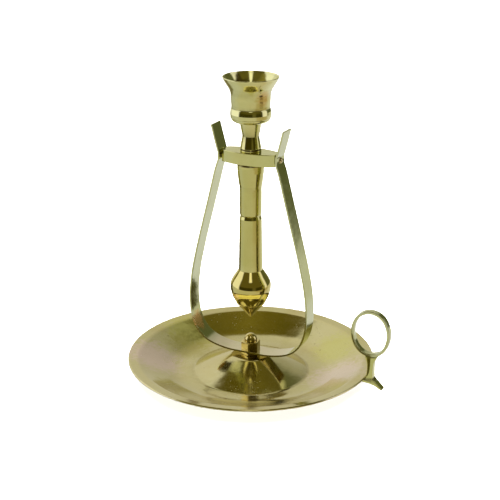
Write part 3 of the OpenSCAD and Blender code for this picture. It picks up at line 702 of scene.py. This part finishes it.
reach = R1 + BAND / 2 + 0.02
under_loop = lambda p: math.hypot(p[0] - FX, p[1] - (FZ - d1)) > reach
inner = [p for p in curve([(82.75, 13.4), (83.35, 16), (83.55, 20), (83.15, 24), (81.35, 29)], 0.4) if under_loop(p)]
outer = [p for p in curve([(91.1, 29.6), (88.8, 25.6), (87.75, 22), (87.45, 17), (87.6, 12.6)], 0.4) if under_loop(p)]
aim = lambda p: math.degrees(math.atan2(p[1] - (FZ - d1), p[0] - FX))
saddle = arc(FX, FZ - d1, reach, aim(inner[-1]) + 0.9, aim(outer[0]) - 0.9, 12)
below = curve([(93.8, 5.1), (90.2, 7.2), (87.2, 8.3), (83.4, 9), (79.8, 9.3)], 0.6)
raw = inner + saddle + outer + [(94.3, 6.0)] + below + [(79.6, 10.9), (82.75, 11.2)]
v = extrude_xz(fillet([(p[0], p[1], 0.12) if 0 < i < len(raw) - 1 else p for i, p in enumerate(raw)], True), -2.5, 2.5, 0.4)
o = finish_mesh("handle_casting", *v, bracket_mat, "base", ["handle_bracket"], "cast_brass")
o.modifiers.new("hard", "EDGE_SPLIT").split_angle = math.radians(42)

# ------------------------------------------------------------------ floor, light, camera

fl = bmesh.new()
bmesh.ops.create_circle(fl, cap_ends=True, cap_tris=False, segments=96, radius=7.0)
fm = bpy.data.meshes.new("floor"); fl.to_mesh(fm); fl.free()
floor = bpy.data.objects.new("floor", fm)
floor.location = (0, 0, -0.0003)
scene.collection.objects.link(floor)
fmat = bpy.data.materials.new("floor_white")
N = Nodes(fmat)
fc = N("ShaderNodeTexCoord").outputs["Object"]
N("ShaderNodeOutputMaterial", Surface=N("ShaderNodeBsdfPrincipled", Roughness=0.9, Specular__IOR__Level=0.1,
  Base__Color=N.mix(N.noise(fc, 3.0, 2), (0.90, 0.90, 0.895), (0.87, 0.87, 0.865))).outputs[0])
fm.materials.append(fmat)
floor.visible_glossy = False

# The studio: two tall softboxes, a pale backdrop, a pale table and a dim room behind the camera and overhead.
away = Vector((-0.42155, 0.90681, 0.0))
right = Vector((0.90681, 0.42155, 0.0))
world = bpy.data.worlds.new("studio"); scene.world = world
world.use_nodes = True
wn = Nodes(world)
d = wn("ShaderNodeTexCoord").outputs["Generated"]
dz = wn("ShaderNodeSeparateXYZ", Vector=d).outputs[2]
da = wn("ShaderNodeVectorMath", _operation="DOT_PRODUCT", i0=d, i1=tuple(away)).outputs["Value"]
ds = wn("ShaderNodeVectorMath", _operation="DOT_PRODUCT", i0=d, i1=tuple(right)).outputs["Value"]
azim = wn.math("ARCTAN2", ds, wn.math("MULTIPLY", da, -1.0))        # 0 towards the camera, + to its right
turn = wn.math("ADD", wn.math("MULTIPLY", azim, 0.5 / math.pi), 0.5)


def band(stops):
    """A ring of light round the object: (azimuth in degrees, colour)."""
    n = wn.t.nodes.new("ShaderNodeValToRGB")
    cr = n.color_ramp
    cr.interpolation = "EASE"
    while len(cr.elements) > 1: cr.elements.remove(cr.elements[-1])
    for i, (a, c) in enumerate(stops):
        if i == 0: cr.elements[0].position = (a + 180) / 360
        e = cr.elements[0] if i == 0 else cr.elements.new((a + 180) / 360)
        e.color = (*c, 1)
    wn.t.links.new(turn, n.inputs[0])
    return n.outputs[0]


TABLE, BOX, ROOM = (0.57, 0.56, 0.47), (1.08, 1.08, 1.22), (0.045, 0.038, 0.004)
GREEN = (0.12, 0.125, 0.055)
BROWN = (0.46, 0.385, 0.21)
lower = band([(-180, (0.80, 0.79, 0.80)), (-162, (0.74, 0.74, 0.72)), (-150, (0.20, 0.18, 0.09)), (-138, (0.20, 0.18, 0.09)), (-124, (0.55, 0.56, 0.55)),
              (-95, (0.58, 0.59, 0.58)), (-60, TABLE), (40, (0.60, 0.56, 0.47)), (80, (0.60, 0.53, 0.44)), (100, (0.64, 0.61, 0.60)), (140, (0.80, 0.80, 0.90)), (180, (0.80, 0.79, 0.80))])
shelf = band([(-180, (0.80, 0.79, 0.80)), (-162, (0.74, 0.74, 0.72)), (-146, (0.40, 0.39, 0.33)), (-124, (0.55, 0.57, 0.58)), (-60, (0.62, 0.60, 0.52)), (10, (0.57, 0.56, 0.47)),
              (34, BROWN), (96, BROWN), (118, (0.66, 0.64, 0.58)), (140, (0.72, 0.72, 0.72)), (180, (0.80, 0.79, 0.80))])
upper = band([(-180, (0.64, 0.62, 0.55)), (-165, (0.74, 0.72, 0.66)), (-135, (0.80, 0.80, 0.82)), (-122, BOX), (-74, BOX), (-64, ROOM), (4, ROOM), (15, (0.13, 0.115, 0.035)),
              (25, (0.12, 0.105, 0.03)), (33, ROOM), (64, ROOM), (74, (0.95, 0.92, 1.05)), (98, (1.0, 0.98, 1.15)), (106, GREEN), (142, GREEN), (152, (0.40, 0.40, 0.34)), (168, (0.52, 0.50, 0.44)), (180, (0.64, 0.62, 0.55))])
above = band([(-180, (0.20, 0.165, 0.022)), (-164, (0.15, 0.12, 0.012)), (-144, (0.105, 0.085, 0.006)), (-112, (0.12, 0.10, 0.01)), (-90, (0.25, 0.21, 0.05)), (-40, (0.12, 0.10, 0.03)), (-8, (0.10, 0.085, 0.02)), (8, (0.10, 0.085, 0.02)), (60, (0.06, 0.045, 0.01)), (95, (0.05, 0.035, 0.01)), (140, (0.12, 0.10, 0.015)), (180, (0.20, 0.165, 0.022))])
sill = band([(-180, (0, 0, 0)), (92, (0, 0, 0)), (106, (1, 1, 1)), (146, (1, 1, 1)), (160, (0, 0, 0))])
front = band([(-180, (0, 0, 0)), (-72, (0, 0, 0)), (-62, (1, 1, 1)), (62, (1, 1, 1)), (72, (0, 0, 0))])
flag = band([(-180, (0, 0, 0)), (50, (0, 0, 0)), (57, (1, 1, 1)), (72, (1, 1, 1)), (80, (0, 0, 0))])
tall = wn.math("MULTIPLY", wn.ramp(dz, -0.66, -0.56), wn.ramp(dz, -0.41, -0.39, 1.0, 0.0))
tall = wn.math("MAXIMUM", tall, wn.math("MULTIPLY", wn.ramp(dz, -0.329, -0.318), wn.ramp(dz, -0.275, -0.26, 1.0, 0.0)))
flag = wn.math("MULTIPLY", flag, tall)
warm = band([(-180, (0, 0, 0)), (24, (0, 0, 0)), (40, (1, 1, 1)), (96, (1, 1, 1)), (112, (0, 0, 0))])
warm = wn.math("MULTIPLY", warm, wn.math("MULTIPLY", wn.ramp(dz, -0.41, -0.39), wn.ramp(dz, -0.33, -0.318, 1.0, 0.0)))
lower = wn.mix(warm, lower, BROWN)
lvl = wn.mix(wn.ramp(dz, -0.315, -0.27), wn.mix(flag, lower, (0.05, 0.035, 0.01)), shelf)
upper = wn.mix(wn.math("MULTIPLY", front, wn.ramp(dz, 0.12, 0.34)), upper, (0.125, 0.105, 0.022))
lvl = wn.mix(wn.ramp(wn.math("ADD", dz, wn.math("MULTIPLY", sill, -0.055)), -0.205, -0.14), lvl, upper)
high = band([(-180, (0, 0, 0)), (-150, (0, 0, 0)), (-120, (1, 1, 1)), (-66, (1, 1, 1)), (-50, (0, 0, 0)), (55, (0, 0, 0)), (66, (1, 1, 1)), (106, (1, 1, 1)), (130, (0, 0, 0))])
lvl = wn.mix(wn.ramp(wn.math("ADD", dz, wn.math("MULTIPLY", high, 0.20)), 0.80, 0.87), lvl, above)
lvl = wn.mix(wn.ramp(dz, 0.950, 0.965, 0.0, 0.5), lvl, (0.045, 0.033, 0.0))
# a narrow lamp high over the camera
strip_l = wn.math("MULTIPLY", wn.ramp(wn.math("ABSOLUTE", wn.math("ADD", azim, 0.02)), 0.10, 0.26, 1.0, 0.0), wn.math("MULTIPLY", wn.ramp(dz, 0.60, 0.66), wn.ramp(dz, 0.955, 0.985, 1.0, 0.0)))
lvl = wn.mix(strip_l, lvl, (1.2, 1.16, 1.1))
# a softbox straight overhead, seen in the brass only by way of the dish
lvl = wn.mix(wn.ramp(dz, 0.982, 0.992), lvl, (1.5, 1.45, 1.2))
wn("ShaderNodeOutputWorld", Surface=wn("ShaderNodeBackground", Color=lvl, Strength=1.0).outputs[0])


def lamp(name, kind, loc, aim, energy, glossy, **put):
    l = bpy.data.lights.new(name, kind)
    l.energy = energy
    for k, val in put.items(): setattr(l, k, val)
    o = bpy.data.objects.new(name, l)
    o.location = loc
    o.rotation_mode = "QUATERNION"
    o.rotation_quaternion = (Vector(aim) - Vector(loc)).to_track_quat("-Z", "Y")
    o.visible_glossy = glossy
    scene.collection.objects.link(o)
    return o


c = away * -0.6
lamp("floor_wash", "SPOT", (c.x, c.y, 2.6), (away.x * 0.7, away.y * 0.7, 0), 1100, False, spot_size=math.radians(110), spot_blend=0.3, shadow_soft_size=1.3)
c = away * -2.2
lamp("floor_front", "SPOT", (c.x, c.y, 0.62), (0, 0, 0), 650, False, spot_size=math.radians(40), spot_blend=0.6, shadow_soft_size=0.25)

cam = bpy.data.cameras.new("camera")
cam.sensor_width, cam.lens = 36.0, 1169.76 / 500 * 36
cam.clip_start, cam.clip_end = 0.02, 50
co = bpy.data.objects.new("camera", cam)
R = Vector((0.906805, 0.421550, 0.0)).normalized()
F = Vector((-0.396233, 0.852345, -0.341331)).normalized()
U = R.cross(F).normalized()
co.matrix_world = Matrix(((R.x, U.x, -F.x, 0.302801), (R.y, U.y, -F.y, -0.652494), (R.z, U.z, -F.z, 0.348133), (0, 0, 0, 1)))
scene.collection.objects.link(co)
scene.camera = co
scene.view_settings.view_transform = "Standard"
scene.view_settings.look = "None"
